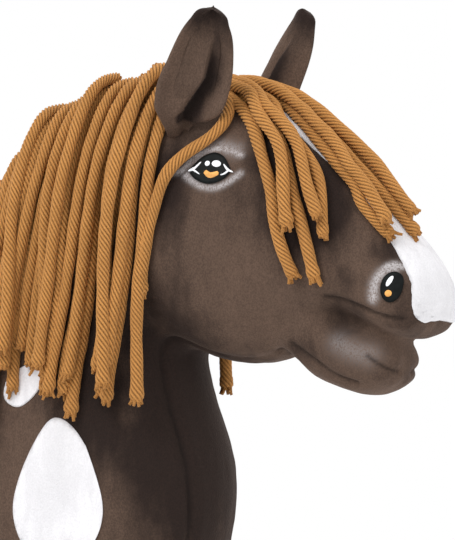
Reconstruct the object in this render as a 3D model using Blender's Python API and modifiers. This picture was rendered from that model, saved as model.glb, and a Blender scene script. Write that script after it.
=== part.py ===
"""Hobby horse: a stuffed plush horse's head and neck with a yarn mane, on a wooden stick.

Frame: +Z up, the nose points along +X, the origin is the centre of the stick's foot. The animal's right side
is at -Y. All sizes are in metres. The head's skin is one continuous surface that every panel, patch and lock
of yarn is cut from or laid on, so all of them follow the same sections.
"""

import math

import bmesh
import bpy
import numpy as np
from mathutils import Vector
from mathutils.bvhtree import BVHTree

# Driving dimensions
HEAD_HEIGHT = 0.350  # neck hem to crest
HEAD_WIDTH = 0.128  # across the widest part of the neck
STICK_LENGTH = 0.700
STICK_DIAMETER = 0.022
STICK_IN_NECK = 0.240
SLEEVE_WALL = 0.002
SLEEVE_CLEARANCE = 0.0006  # all round the stick
CAP_WALL = 0.004
CAP_HEIGHT = 0.030
CAP_FLOOR = 0.006
PLUSH = 0.0020  # thickness of the pile fabric
PATCH = 0.0016  # thickness of an applied patch
GAP = 0.0004  # between pieces that touch
STUFFING_EASE = 0.0028  # between the stuffing and the back of the skin
LINING_EASE = 0.0023  # between an ear and its lining
YARN_DIAMETER = 0.0085
LOCK_THICKNESS = 0.010  # a lock of the mane, several strands thick
LOCK_LIFT = 0.0022  # between a lock and the skin
LOCK_WIDTH = 0.0213
LOCK_SPACE = 0.0012  # between two locks
EAR_LENGTH = 0.095
EAR_WIDTH = 0.050
EAR_LIFT = 0.0035  # between an ear's root and the skin
EYE_WIDTH = 0.033
EYE_HEIGHT = 0.022
NOSTRIL_WIDTH = 0.016
NOSTRIL_HEIGHT = 0.022

NECK_BASE = STICK_LENGTH - STICK_IN_NECK + CAP_FLOOR  # height of the neck's hem
SIZE = HEAD_HEIGHT / 350  # metres for each unit of the sections, which are drawn for a head 350 high
WIDE = HEAD_WIDTH / 128  # and 128 wide
AROUND = 180.0  # degrees from the crest round to the throat

# Sections of head and neck, fanned about the throat. Each has the point on its back or top edge (x, z above the
# hem), the point on its front or lower edge, its half width, how much fuller its lower half is, and the half
# widths of the strip along the top (the blaze) and along the bottom (throat gusset or mouth lining).
SECTIONS = (
    ((-92, 1), (84, 1), 50, 0.00, 12, 22),
    ((-106, 13), (104, 13), 60, 0.00, 12, 26),
    ((-109, 42), (116, 45), 64, 0.00, 12, 30),
    ((-106, 86), (117, 86), 63, 0.00, 12, 32),
    ((-99, 130), (106, 126), 58, 0.02, 12, 32),
    ((-90, 176), (100, 150), 54, 0.04, 12, 31),
    ((-79, 222), (98, 163), 51, 0.06, 12, 30),
    ((-66, 258), (101, 168), 49, 0.10, 12, 28),
    ((-48, 291), (106, 167), 49, 0.14, 12, 26),
    ((-20, 319), (113, 163), 51, 0.17, 12, 24),
    ((20, 338), (123, 159), 54, 0.17, 12, 22),
    ((64, 348), (135, 157), 56, 0.14, 12, 20),
    ((104, 347), (148, 157), 56, 0.08, 12, 18),
    ((137, 345), (162, 158), 53, 0.02, 13, 18),
    ((167, 336), (178, 164), 48, -0.02, 15, 20),
    ((193, 321), (199, 181), 43, -0.02, 18, 26),
    ((216, 303), (226, 194), 39, 0.00, 20, 28),
    ((237, 283), (245, 187), 37, 0.04, 21, 29),
    ((256, 261), (260, 181), 37, 0.06, 23, 31),
    ((272, 244), (268, 178), 37, 0.04, 27, 31),
    ((283, 229), (274, 177), 35, 0.02, 29, 30),
    ((289.5, 214), (279, 179.5), 31, 0.00, 28, 27),
    ((290.5, 202), (282, 185), 25, 0.00, 24, 22),
    ((290.5, 194), (287, 188), 10, 0.00, 9, 9),
)
# The lower jaw's sections, from where it leaves the cheek to the chin: upper edge, lower edge, half width,
# fuller low side, then the half widths of the lip lining and of the chin gusset.
JAW_SECTIONS = (
    ((206, 180), (186, 160), 31, 0.00, 20, 16),
    ((223, 190), (196, 149), 33, 0.02, 20, 17),
    ((239, 186.5), (211, 143), 33, 0.04, 20, 18),
    ((252, 181.5), (228, 138), 32, 0.04, 20, 18),
    ((260, 177), (243, 136.5), 29, 0.02, 19, 17),
    ((264.5, 170.5), (254, 142), 24, 0.00, 16, 15),
    ((266, 161), (263, 152), 11, 0.00, 8, 8),
)
BLAZE_START = 13.0  # the blaze runs from this section to the nose
MOUTH_START = 14.6  # the mouth lining runs from this section forward
LIP_END = 22.0  # forward of this section the lip lining goes all the way round
ROWS_PER_SECTION = 2
ROUND = 0.92  # the sections are a little fuller than ellipses
LIP_SQUARE = 0.50  # and flat along the mouth

# Colours (linear) and finishes
BROWN_PLUSH = ((0.075, 0.046, 0.034), 0.85)
DARK_PLUSH = ((0.050, 0.030, 0.022), 0.85)
WHITE_PLUSH = ((0.86, 0.85, 0.87), 0.80)
YARN = ((0.42, 0.19, 0.045), 0.85)
FIBRE = ((0.82, 0.82, 0.80), 0.90)
LINER = ((0.35, 0.30, 0.25), 0.80)
BLACK_FELT = ((0.008, 0.010, 0.010), 0.55)
WOOD = ((0.56, 0.36, 0.18), 0.45)
RUBBER = ((0.02, 0.02, 0.02), 0.70)

for old in list(bpy.data.objects):
    bpy.data.objects.remove(old, do_unlink=True)
parts = bpy.data.collections.new("hobby_horse")
cutters = bpy.data.collections.new("cutters")
bpy.context.scene.collection.children.link(parts)
bpy.context.scene.collection.children.link(cutters)


def material(name, look):
    """A plain material of one colour."""
    (red, green, blue), roughness = look
    made = bpy.data.materials.new(name)
    made.use_nodes = True
    shader = made.node_tree.nodes["Principled BSDF"]
    shader.inputs["Base Color"].default_value = (red, green, blue, 1)
    shader.inputs["Roughness"].default_value = roughness
    shader.inputs["Metallic"].default_value = 0
    made.diffuse_color = (red, green, blue, 1)
    return made


def add(name, data, look):
    """Put mesh or curve data in the scene as one named piece."""
    piece = bpy.data.objects.new(name, data)
    piece.data.materials.append(material(name + "_material", look))
    parts.objects.link(piece)
    return piece


def add_bmesh(name, bm, look):
    """Close a bmesh off as a named piece with its faces turned out."""
    bmesh.ops.recalc_face_normals(bm, faces=bm.faces)
    mesh = bpy.data.meshes.new(name)
    bm.to_mesh(mesh)
    bm.free()
    mesh.shade_smooth()
    mesh.set_sharp_from_angle(angle=math.radians(50))
    return add(name, mesh, look)


def cut(piece, cutter):
    """Cut one piece with a hidden cutter."""
    for home in list(cutter.users_collection):
        home.objects.unlink(cutter)
    cutters.objects.link(cutter)
    cutter.hide_render = True
    cutter.display_type = "WIRE"
    boolean = piece.modifiers.new("cut", "BOOLEAN")
    boolean.operation = "DIFFERENCE"
    boolean.solver = "EXACT"
    boolean.object = cutter


def smooth_value(values, at):
    """A smooth curve through evenly spaced values, read at a fractional index."""
    values = np.asarray(values, float)
    last = len(values) - 1
    at = min(max(at, 0.0), float(last))
    i = min(int(at), last - 1)
    t = at - i
    before, a, b, after = (values[min(max(k, 0), last)] for k in (i - 1, i, i + 1, i + 2))
    return a + 0.5 * t * (b - before + t * (2 * before - 5 * a + 4 * b - after + t * (3 * (a - b) + after - before)))


class Skin:
    """A stuffed surface drawn through a fan of sections."""

    def __init__(self, sections, square_top=None, square_low=None):
        self.square_top = square_top or [ROUND] * len(sections)
        self.square_low = square_low or [ROUND] * len(sections)
        self.top = [s[0] for s in sections]
        self.low = [s[1] for s in sections]
        self.half = [s[2] for s in sections]
        self.fuller = [s[3] for s in sections]
        self.upper_strip = [s[4] for s in sections]
        self.lower_strip = [s[5] for s in sections]
        self.last = len(sections) - 1

    def point(self, at, around, depth):
        """The point on section `at`, `around` degrees from its top edge (negative on the right side), `depth`
        inside the surface."""
        top = smooth_value(self.top, at) * SIZE
        low = smooth_value(self.low, at) * SIZE
        centre = (top + low) / 2
        axis = top - low
        reach = max(np.linalg.norm(axis) / 2, 1e-6)
        axis = axis / (2 * reach)
        half = smooth_value(self.half, at) * WIDE
        angle = math.radians(around)
        power = smooth_value(self.square_top if math.cos(angle) > 0 else self.square_low, at)
        along = math.copysign(abs(math.cos(angle)) ** power, math.cos(angle))
        across = math.copysign(abs(math.sin(angle)) ** ROUND, math.sin(angle))
        fuller = 1 - smooth_value(self.fuller, at) * math.cos(angle)
        x, z = centre + axis * along * (reach - min(depth, reach * 0.8))
        y = across * (half * fuller - min(depth, half * 0.8))
        return Vector((x, y, z + NECK_BASE))

    def edge(self, at, upper):
        """The angle at which the strip along the top or the bottom ends."""
        strip = self.upper_strip if upper else self.lower_strip
        half = smooth_value(self.half, at)
        share = min(smooth_value(strip, at) / half, 0.94)
        angle = math.degrees(math.asin(share ** (1 / ROUND)))
        return angle if upper else AROUND - angle


HEAD = Skin(SECTIONS, square_low=[LIP_SQUARE if k > 14 else ROUND for k in range(len(SECTIONS))])
JAW = Skin(JAW_SECTIONS, square_top=[LIP_SQUARE] * len(JAW_SECTIONS))


def slab(name, rows, look):
    """A closed piece from rows of (outer point, inner point) pairs: a sheet with its rim closed."""
    bm = bmesh.new()
    outer = [[bm.verts.new(pair[0]) for pair in row] for row in rows]
    inner = [[bm.verts.new(pair[1]) for pair in row] for row in rows]
    tall, wide = len(rows) - 1, len(rows[0]) - 1
    for i in range(tall):
        for j in range(wide):
            bm.faces.new((outer[i][j], outer[i][j + 1], outer[i + 1][j + 1], outer[i + 1][j]))
            bm.faces.new((inner[i][j], inner[i + 1][j], inner[i + 1][j + 1], inner[i][j + 1]))
        for j in (0, wide):
            bm.faces.new((outer[i][j], outer[i + 1][j], inner[i + 1][j], inner[i][j]))
    for j in range(wide):
        for i in (0, tall):
            bm.faces.new((outer[i][j], outer[i][j + 1], inner[i][j + 1], inner[i][j]))
    return add_bmesh(name, bm, look)


def spaced(start, end, count):
    """Evenly spaced values from start to end."""
    return [start + (end - start) * k / (count - 1) for k in range(count)]


def stations(start, end):
    """The sections that a piece is drawn through: both its ends, and every shared station between them."""
    between = [k / ROWS_PER_SECTION for k in range(len(SECTIONS) * ROWS_PER_SECTION)]
    return [start, *(at for at in between if start + 0.05 < at < end - 0.05), end]


def panel(name, skin, start, end, edges, columns, look, depths=(0.0, PLUSH)):
    """A panel of the skin between two sections. `edges` gives its two edge angles at a section."""
    rows = []
    for at in stations(start, end):
        low, high = edges(at)
        rows.append([tuple(skin.point(at, a, d) for d in depths) for a in spaced(low, high, columns + 1)])
    return slab(name, rows, look)


def stuffed(name, skin, start, end, depth, look, columns=20):
    """A solid filling of the skin between two sections, `depth` inside it."""
    bm = bmesh.new()
    rings = []
    for at in stations(start, end):
        turns = [360 * k / columns for k in range(columns)]
        rings.append([bm.verts.new(skin.point(at, a, depth)) for a in turns])
    for ring, after in zip(rings, rings[1:]):
        for k in range(columns):
            n = (k + 1) % columns
            bm.faces.new((ring[k], ring[n], after[n], after[k]))
    bm.faces.new(rings[0])
    bm.faces.new(rings[-1])
    return add_bmesh(name, bm, look)


def cylinder(name, radius, bottom, top, look=None, segments=40):
    """An upright cylinder about the stick's axis."""
    bm = bmesh.new()
    bmesh.ops.create_cone(bm, cap_ends=True, segments=segments, radius1=radius, radius2=radius, depth=top - bottom)
    bmesh.ops.translate(bm, verts=bm.verts, vec=(0, 0, (top + bottom) / 2))
    return add_bmesh(name, bm, look or RUBBER)


def side_edges(side):
    """The edge angles of a side panel, for the right (-1) or the left (+1) side."""

    def edges(at):
        gap = math.degrees(GAP / (smooth_value(HEAD.half, at) * WIDE))
        return side * (blaze_edge(at) + gap), side * (lower_edge(at) - gap)

    return edges


def blaze_edge(at):
    """The blaze's half angle, which grows from nothing at its pointed top."""
    grown = min(max((at - BLAZE_START + 0.6) / 0.6, 0.0), 1.0)
    return HEAD.edge(at, True) * grown


def lower_edge(at):
    """The angle of the seam between a side panel and the throat gusset or the mouth lining."""
    return HEAD.edge(at, False)


def lower_edges(at):
    """Both edges of the strip under the throat or under the lip."""
    edge = lower_edge(at)
    return edge, 2 * AROUND - edge


# The head's skin
NOSE_END = LIP_END + 0.5
panel("right_side_panel", HEAD, 0, NOSE_END, side_edges(-1), 9, BROWN_PLUSH)
panel("left_side_panel", HEAD, 0, NOSE_END, side_edges(1), 9, BROWN_PLUSH)
panel("blaze_panel", HEAD, BLAZE_START - 0.4, NOSE_END, lambda at: (-blaze_edge(at), blaze_edge(at)), 4, WHITE_PLUSH)
panel("throat_panel", HEAD, 0, MOUTH_START - 0.7, lower_edges, 5, DARK_PLUSH)
panel("upper_lip_panel", HEAD, MOUTH_START - 0.65, NOSE_END, lower_edges, 6, DARK_PLUSH)
stuffed("nose_tip", HEAD, NOSE_END + 0.06, HEAD.last, 0.0, DARK_PLUSH)


def jaw_edges(at):
    """Both edges of the lower jaw's side skin, which goes under the chin."""
    edge = JAW.edge(at, True)
    gap = math.degrees(GAP / (smooth_value(JAW.half, at) * WIDE))
    return edge + gap, 2 * AROUND - edge - gap


def lip_edges(at):
    """Both edges of the lower lip's lining."""
    edge = JAW.edge(at, True)
    return -edge, edge


CHIN_END = JAW.last - 0.5
panel("lower_jaw_panel", JAW, 0, CHIN_END, jaw_edges, 14, BROWN_PLUSH)
panel("lower_lip_panel", JAW, 0, CHIN_END, lip_edges, 5, DARK_PLUSH)
stuffed("chin_tip", JAW, CHIN_END + 0.06, JAW.last, 0.0, BROWN_PLUSH, 16)
stuffed("jaw_stuffing", JAW, 0.15, CHIN_END - 0.1, PLUSH + STUFFING_EASE, FIBRE, 20)

# Stuffing, sleeve and stick
stick_radius = STICK_DIAMETER / 2
sleeve_inner = stick_radius + SLEEVE_CLEARANCE
sleeve_outer = sleeve_inner + SLEEVE_WALL
stick_top = STICK_LENGTH + CAP_FLOOR
sleeve_top = stick_top + GAP + SLEEVE_WALL
stuffing = stuffed("stuffing", HEAD, 0.4, LIP_END - 0.5, PLUSH + STUFFING_EASE, FIBRE)
cut(stuffing, cylinder("stick_pocket", sleeve_outer + GAP, NECK_BASE - 0.05, sleeve_top + GAP))
sleeve = cylinder("stick_sleeve", sleeve_outer, NECK_BASE - PLUSH - GAP, sleeve_top, LINER)
cut(sleeve, cylinder("sleeve_bore", sleeve_inner, NECK_BASE - 0.05, stick_top + GAP))
stick = cylinder("stick", stick_radius, CAP_FLOOR, stick_top, WOOD)
bevel = stick.modifiers.new("rounded_ends", "BEVEL")
bevel.width = 0.002
bevel.segments = 2
cap = cylinder("stick_end_cap", stick_radius + GAP + CAP_WALL, 0.0, CAP_HEIGHT, RUBBER)
cut(cap, cylinder("cap_bore", stick_radius + GAP, CAP_FLOOR - GAP, CAP_HEIGHT + 0.01))


def neck_base():
    """The flat panel that closes the neck round the sleeve."""
    bm = bmesh.new()
    ring = [HEAD.point(0, 360 * k / 40, 0.0) for k in range(40)]
    face = bm.faces.new([bm.verts.new((p.x, p.y, NECK_BASE - PLUSH)) for p in ring])
    up = bmesh.ops.extrude_face_region(bm, geom=[face])
    raised = [v for v in up["geom"] if isinstance(v, bmesh.types.BMVert)]
    bmesh.ops.translate(bm, verts=raised, vec=(0, 0, PLUSH + SIZE - GAP))
    made = add_bmesh("neck_base_panel", bm, DARK_PLUSH)
    cut(made, cylinder("sleeve_hole", sleeve_outer + GAP, NECK_BASE - 0.05, NECK_BASE + 0.05))


neck_base()


# What lies on the skin is found by looking through the skin from the side
def skin_tree():
    """A search tree over the whole head's outer surface."""
    rows = [[HEAD.point(at, 360 * k / 48, 0.0) for k in range(49)] for at in spaced(0, HEAD.last, 93)]
    corners = [p for row in rows for p in row]
    faces = []
    for i in range(92):
        for k in range(48):
            a = i * 49 + k
            faces.append((a, a + 1, a + 50, a + 49))
    return BVHTree.FromPolygons(corners, faces)


TREE = skin_tree()


def draped(x, z, side, lift):
    """The point `lift` outside the skin on one side, at a place in the side view."""
    hit = TREE.ray_cast(Vector((x, side * 0.3, z)), Vector((0, -side, 0)))
    if hit[0] is None:
        raise ValueError(f"nothing of the head lies at x {x:.3f}, z {z:.3f}")
    return Vector((x, hit[0].y + side * lift, z))


def off_skin(place, lift):
    """The point `lift` outside the skin, nearest to a place."""
    point, normal, _, _ = TREE.find_nearest(place)
    outward = normal if normal.dot(place - point) >= 0 else -normal
    return point + outward * lift


def outside(place, lift):
    """The point `lift` outside the skin, nearest to a place that may lie inside it."""
    point, normal, _, _ = TREE.find_nearest(place)
    middle = Vector((point.x, 0, point.z - 0.02))
    outward = normal if normal.dot(point - middle) >= 0 else -normal
    return point + outward * lift


def kept_out(place, lift):
    """The place itself, or the nearest one that is `lift` outside the skin."""
    point, normal, _, _ = TREE.find_nearest(place)
    middle = Vector((point.x, 0, point.z - 0.02))
    outward = normal if normal.dot(point - middle) >= 0 else -normal
    if (place - point).dot(outward) >= lift:
        return place
    return point + outward * lift


def patch(name, outline, side, lift, thickness, look, rings=2):
    """A piece laid on the skin, from its outline in the side view (x, z)."""
    bm = bmesh.new()
    middle = np.mean(outline, axis=0)
    layers = []
    for height in (lift, lift + thickness):
        loops = []
        for ring in range(1, rings + 1):
            spots = [middle + (np.array(p) - middle) * ring / rings for p in outline]
            loops.append([bm.verts.new(draped(x, z, side, height)) for x, z in spots])
        centre = bm.verts.new(draped(*middle, side, height))
        layers.append((centre, loops))
    count = len(outline)
    for centre, loops in layers:
        for k in range(count):
            n = (k + 1) % count
            bm.faces.new((centre, loops[0][k], loops[0][n]))
            for near, far in zip(loops, loops[1:]):
                bm.faces.new((near[k], far[k], far[n], near[n]))
    (_, low), (_, high) = layers
    for k in range(count):
        n = (k + 1) % count
        bm.faces.new((low[-1][k], low[-1][n], high[-1][n], high[-1][k]))
    return add_bmesh(name, bm, look)


def at_head(x, z):
    """A place in the side view, from the sections' units."""
    return x * SIZE, z * SIZE + NECK_BASE


def rounded(points, count=24):
    """A smooth closed outline through a few points."""
    around = len(points)
    closed = [points[(k - 1) % around] for k in range(around + 3)]
    return [tuple(smooth_value(closed, 1 + around * k / count)) for k in range(count)]


def oval(centre, width, height, tilt, count=20):
    """An ellipse about a centre, tilted in the side view."""
    lean = math.radians(tilt)
    spots = []
    for k in range(count):
        turn = 2 * math.pi * k / count
        a, b = width / 2 * math.cos(turn), height / 2 * math.sin(turn)
        x = centre[0] + a * math.cos(lean) - b * math.sin(lean)
        z = centre[1] + a * math.sin(lean) + b * math.cos(lean)
        spots.append((x, z))
    return spots


EYE_CENTRE = (137, 295)
NOSTRIL_CENTRE = (271, 211)
LARGE_SPOT = ((16, 122), (36, 108), (50, 76), (53, 52), (42, 30), (16, 20), (-8, 30), (-17, 54), (-12, 78), (2, 108))
SMALL_SPOT = ((-1, 160), (5, 152), (1, 140), (-14, 128), (-28, 134), (-26, 148), (-14, 156))
for word, side in (("right", -1), ("left", 1)):
    eye = oval(at_head(*EYE_CENTRE), EYE_WIDTH, EYE_HEIGHT, -6)
    patch(f"{word}_eye", eye, side, GAP, PATCH, BLACK_FELT)
    nostril = oval(at_head(*NOSTRIL_CENTRE), NOSTRIL_WIDTH, NOSTRIL_HEIGHT, 12)
    patch(f"{word}_nostril", nostril, side, GAP, PATCH, BLACK_FELT)
    for size, outline in (("large", LARGE_SPOT), ("small", SMALL_SPOT)):
        spot = rounded([at_head(*p) for p in outline])
        patch(f"{word}_{size}_spot", spot, side, GAP, PATCH / 2, WHITE_PLUSH, 4)


def crest_height(x):
    """The height of the skin's top edge above a place along the neck, or of the head's top where there is none."""
    down = TREE.ray_cast(Vector((x, 0.0002, 2.0)), Vector((0, 0, -1)))
    return down[0].z if down[0] else NECK_BASE + HEAD_HEIGHT


def skin_out(x, z, side):
    """How far the skin's side lies from the middle plane, which is nothing behind the neck."""
    hit = TREE.ray_cast(Vector((x, side * 0.3, z)), Vector((0, -side, 0)))
    return abs(hit[0].y) if hit[0] else 0.0


# The mane: a roll of knotted yarn ends sewn down the crest, and locks that fall from it on both sides
ROLL_RADIUS = 0.0075
ROLL_START, ROLL_END = 1.6, 11.7  # sections between which the mane is sewn on
LOCK_FRONT = 82  # where the first lock's front edge is, in the sections' units
LOCK_LEAN = 0.036  # how far a lock hangs back, for each unit of its fall
LOCK_ENDS = (133, 130, 143, 158, 150, 96, 58)  # height of each lock's end above the hem
LOCKS = len(LOCK_ENDS)


def crest_roll():
    """The sewn roll along the crest."""
    curve = bpy.data.curves.new("mane_roll", "CURVE")
    curve.dimensions = "3D"
    curve.bevel_depth = ROLL_RADIUS
    curve.bevel_resolution = 2
    curve.use_fill_caps = True
    spline = curve.splines.new("POLY")
    places = spaced(ROLL_START, ROLL_END, 20)
    spline.points.add(len(places) - 1)
    for point, at in zip(spline.points, places):
        centre = (HEAD.point(at, 0, 0) + HEAD.point(at, 180, 0)) / 2
        outward = (HEAD.point(at, 0, 0) - centre).normalized()
        behind = HEAD.point(at + 0.3, 0, 0) - HEAD.point(at - 0.3, 0, 0)
        normal = Vector((-behind.z, 0, behind.x)).normalized()
        normal = normal if normal.dot(outward) > 0 else -normal
        point.co = (*(HEAD.point(at, 0, 0) + normal * (ROLL_RADIUS + 2 * GAP)), 1)
    add("mane_roll", curve, YARN)


def hanging(x, z):
    """How far forward a lock hangs at one height, if it would meet the crest's top at x."""
    return x - LOCK_LEAN * (NECK_BASE + HEAD_HEIGHT - z)


def lock(name, number, side):
    """One lock: a slab of several strands that hangs down the side of the neck."""
    step = LOCK_WIDTH + LOCK_SPACE
    front = LOCK_FRONT * SIZE - number * step
    end = NECK_BASE + LOCK_ENDS[number] * SIZE
    columns = spaced(front - LOCK_WIDTH, front, 4)
    tops = [lock_top(x, side, end + LOCK_WIDTH) for x in columns]
    rows = []
    for down in spaced(0.0, 1.0, 12):
        row = []
        for x, top in zip(columns, tops):
            z = top + (end - top) * down
            thick = LOCK_THICKNESS * (1 - 0.35 * abs(down - 0.5))
            here = hanging(x, z)
            out = max(skin_out(here, z, side), ROOT_OUT) + LOCK_LIFT
            row.append((Vector((here, side * (out + thick), z)), Vector((here, side * out, z))))
        rows.append(row)
    slab(name, rows, YARN)


ROOT_OUT = 17 * WIDE  # how far from the middle plane a lock's root begins, and how far out it hangs behind the neck


def lock_top(x, side, lowest):
    """The height at which a lock begins: the first at which the skin's side is far enough from the middle plane."""
    z = crest_height(hanging(x, crest_height(x)))
    step = 0.002
    while z - step > lowest and skin_out(hanging(x, z - step), z - step, side) < ROOT_OUT:
        z -= step
    return z - step


crest_roll()
for word, side in (("right", -1), ("left", 1)):
    for number in range(LOCKS):
        lock(f"{word}_mane_lock_{number + 1}", number, side)


# Ears
EAR_ROOT = (109, 327)  # in the side view, and its distance from the middle plane:
EAR_ROOT_OUT = 0.043
EAR_SHELL = 0.0045
EAR_CUP = 0.016  # how far the edges stand in front of the middle
EAR_LINING_SHARE = 0.70  # of the ear's width
EAR_ROOT_SHARE = 0.55  # how much of its width is sewn to the head
EAR_ROOT_RISE = 0.28  # the share of its length over which it leaves the skin
EAR_UP = (0.37, 0.23, 0.90)  # on the left side
EAR_AHEAD = (0.50, 0.86, 0.0)


def ear_width(t):
    """Half the ear's width, from its root (0) to its tip (1)."""
    return EAR_WIDTH / 2 * max(0.06, (1 - t) ** 0.62 * (0.72 + 1.25 * t) * 1.14)


def ear_axes(side):
    """The ear's own directions: from root to tip, the way it opens, and across it."""
    up = Vector(EAR_UP) * Vector((1, side, 1))
    ahead = Vector(EAR_AHEAD) * Vector((1, side, 1))
    up.normalize()
    ahead = (ahead - up * ahead.dot(up)).normalized()
    return up, ahead, ahead.cross(up).normalized()


def ear_rows(side, share, front, thickness, start, end):
    """Rows of outer and inner points for a layer of the ear that begins `front` ahead of its back."""
    up, ahead, across = ear_axes(side)
    x, z = at_head(*EAR_ROOT)
    root = off_skin(Vector((x, side * EAR_ROOT_OUT, z)), EAR_LIFT)
    rows = []
    for t in spaced(start, end, 12):
        row = []
        half = ear_width(t)
        cup = EAR_CUP * (1 - 0.55 * t)
        rise = min(1.0, t / EAR_ROOT_RISE)
        rise = rise * rise * (3 - 2 * rise)
        for s in spaced(-share, share, 9):
            seat = off_skin(root + across * (half * s * EAR_ROOT_SHARE), EAR_LIFT + EAR_SHELL)
            free = root + up * (EAR_LENGTH * t) + across * (half * s) + ahead * (cup * s * s)
            facing = (ahead - across * (2 * cup * s / max(half, EAR_CUP))).normalized()
            back = kept_out(seat.lerp(free, rise), EAR_LIFT + EAR_SHELL) + facing * front
            row.append((back, kept_out(back + facing * thickness, EAR_LIFT)))
        rows.append(row)
    return rows


for word, side in (("right", -1), ("left", 1)):
    slab(f"{word}_ear", ear_rows(side, 1.0, 0.0, EAR_SHELL, 0.0, 1.0), BROWN_PLUSH)
    lining = ear_rows(side, EAR_LINING_SHARE, EAR_SHELL + LINING_EASE, PLUSH, 0.24, 0.82)
    slab(f"{word}_ear_lining", lining, DARK_PLUSH)

# The forelock: strands sewn in front of the ears that fall over the forehead. Each is a list of places near the
# skin, in the sections' units: forward, to the left, and above the hem.
FORELOCK = (
    ((146, -35, 325), (136, -46, 315), (122, -54, 304), (109, -57, 287), (97, -60, 252), (85, -60, 205)),
    ((142, -25, 339), (163, -38, 322), (177, -47, 287), (187, -47, 252), (199, -43, 219)),
    ((147, -15, 345), (166, -30, 328), (187, -38, 301), (201, -44, 262), (214, -40, 217)),
    ((151, -5, 347), (171, -20, 331), (194, -30, 311), (212, -36, 280), (219, -34, 244)),
    ((155, 5, 347), (182, -8, 330), (212, -18, 297), (234, -22, 269), (261, -22, 245)),
    ((157, 14, 345), (188, 4, 326), (220, -5, 303), (249, -5, 273), (273, -3, 250)),
    ((156, 23, 340), (186, 16, 328), (218, 16, 300), (243, 24, 272)),
    ((151, 32, 333), (170, 36, 322), (196, 42, 290), (212, 44, 250)),
    ((144, 41, 323), (154, 50, 305), (166, 54, 275), (174, 54, 235)),
)


def strand(name, route, radius, lift):
    """One strand of yarn laid along a route on the skin."""
    curve = bpy.data.curves.new(name, "CURVE")
    curve.dimensions = "3D"
    curve.bevel_depth = radius
    curve.bevel_resolution = 1
    curve.use_fill_caps = True
    places = [smooth_value(route, at) for at in spaced(0, len(route) - 1, 12)]
    spline = curve.splines.new("POLY")
    spline.points.add(len(places) - 1)
    for point, (x, y, z) in zip(spline.points, places):
        near = Vector((x * SIZE, y * WIDE, z * SIZE + NECK_BASE))
        if name == "forelock_strand_1":  # it falls in front of the ear, so it makes way for the ear's edge
            beside_ear = math.exp(-(((z - 300) / 22) ** 2))
            near.x += (EAR_WIDTH / 2 - 25 * SIZE) * beside_ear
        point.co = (*outside(near, radius + lift), 1)
    add(name, curve, YARN)


for number, route in enumerate(FORELOCK):
    strand(f"forelock_strand_{number + 1}", route, YARN_DIAMETER / 2, LOCK_LIFT)
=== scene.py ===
"""Plush hobby horse: fur fabric, twisted yarn mane and forelock, painted eyes and a wooden stick."""

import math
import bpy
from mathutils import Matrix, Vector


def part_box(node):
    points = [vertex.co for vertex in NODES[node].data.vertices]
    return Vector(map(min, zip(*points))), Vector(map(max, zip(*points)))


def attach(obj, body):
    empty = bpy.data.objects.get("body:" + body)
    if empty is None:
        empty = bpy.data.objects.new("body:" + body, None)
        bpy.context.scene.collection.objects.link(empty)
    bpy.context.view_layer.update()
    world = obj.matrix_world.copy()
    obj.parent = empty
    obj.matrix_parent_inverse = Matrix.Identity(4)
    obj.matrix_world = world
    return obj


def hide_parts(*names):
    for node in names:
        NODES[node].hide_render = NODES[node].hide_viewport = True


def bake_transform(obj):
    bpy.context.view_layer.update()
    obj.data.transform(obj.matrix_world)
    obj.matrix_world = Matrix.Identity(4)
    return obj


bl_info = {
    "name": "Plush Hobby Horse",
    "version": (1, 0, 0),
    "blender": (4, 5, 0),
    "location": "3D View > Sidebar > Hobby Horse",
    "description": "Sews, stuffs and dresses a hobby horse's head around its working parts",
    "category": "Object",
}

import bmesh
import bpy
import numpy as np
from mathutils import Matrix, Vector
from mathutils.bvhtree import BVHTree
from mathutils.kdtree import KDTree

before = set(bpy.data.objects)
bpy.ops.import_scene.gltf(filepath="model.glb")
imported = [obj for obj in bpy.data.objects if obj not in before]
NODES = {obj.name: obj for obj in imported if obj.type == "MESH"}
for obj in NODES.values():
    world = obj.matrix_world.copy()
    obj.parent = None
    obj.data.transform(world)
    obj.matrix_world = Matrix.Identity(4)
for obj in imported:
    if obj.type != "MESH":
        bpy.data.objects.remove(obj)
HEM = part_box("neck_base_panel")[1].z  # height of the neck's lower edge
SIDES = (("right", -1), ("left", 1))

BODY_PANELS = (
    "right_side_panel", "left_side_panel", "blaze_panel", "throat_panel", "upper_lip_panel", "nose_tip",
    "neck_base_panel",
)
JAW_PANELS = ("lower_jaw_panel", "lower_lip_panel", "chin_tip")
SEAMED = ("throat_panel", "blaze_panel")


def colour_setting(name, description, default):
    """A colour shown in the panel."""
    return bpy.props.FloatVectorProperty(
        name=name, description=description, default=default, subtype="COLOR", size=3
    )


def length_setting(name, description, default):
    """A length shown in the panel."""
    return bpy.props.FloatProperty(name=name, description=description, default=default, unit="LENGTH")


class PlushSettings(bpy.types.PropertyGroup):
    """The fur fabric and how the head is sewn."""

    brown: colour_setting("Brown", "Main fur colour", (0.105, 0.066, 0.047))
    # the dark brown is also the colour of painted shade under the forelock, by the mane, round the jaw, in the seams
    # and in the ear hollows
    dark: colour_setting("Dark brown", "Fur brushed the other way", (0.019, 0.0105, 0.0080))
    white: colour_setting("White", "Blaze and spots", (0.71, 0.70, 0.72))
    voxel: length_setting("Mesh size", "Grain of the body mesh", 0.0040)
    seam_depth: length_setting("Seam depth", "How deep a seam pulls in", 0.0022)
    seam_width: length_setting("Seam width", "Half width of a seam's groove", 0.0026)
    puff: length_setting("Puff", "How far stuffing may push the fur out", 0.0035)


class YarnSettings(bpy.types.PropertyGroup):
    """The mane's yarn."""

    colour: colour_setting("Yarn", "Yarn colour", (0.43, 0.195, 0.052))
    radius: length_setting("Radius", "Half the yarn's thickness", 0.0043)
    plies: bpy.props.IntProperty(name="Plies", description="Ends twisted together", default=8)
    lay: length_setting("Lay", "Length of one full twist", 0.031)
    spacing: length_setting("Spacing", "Between strands along the crest", 0.0088)


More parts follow.
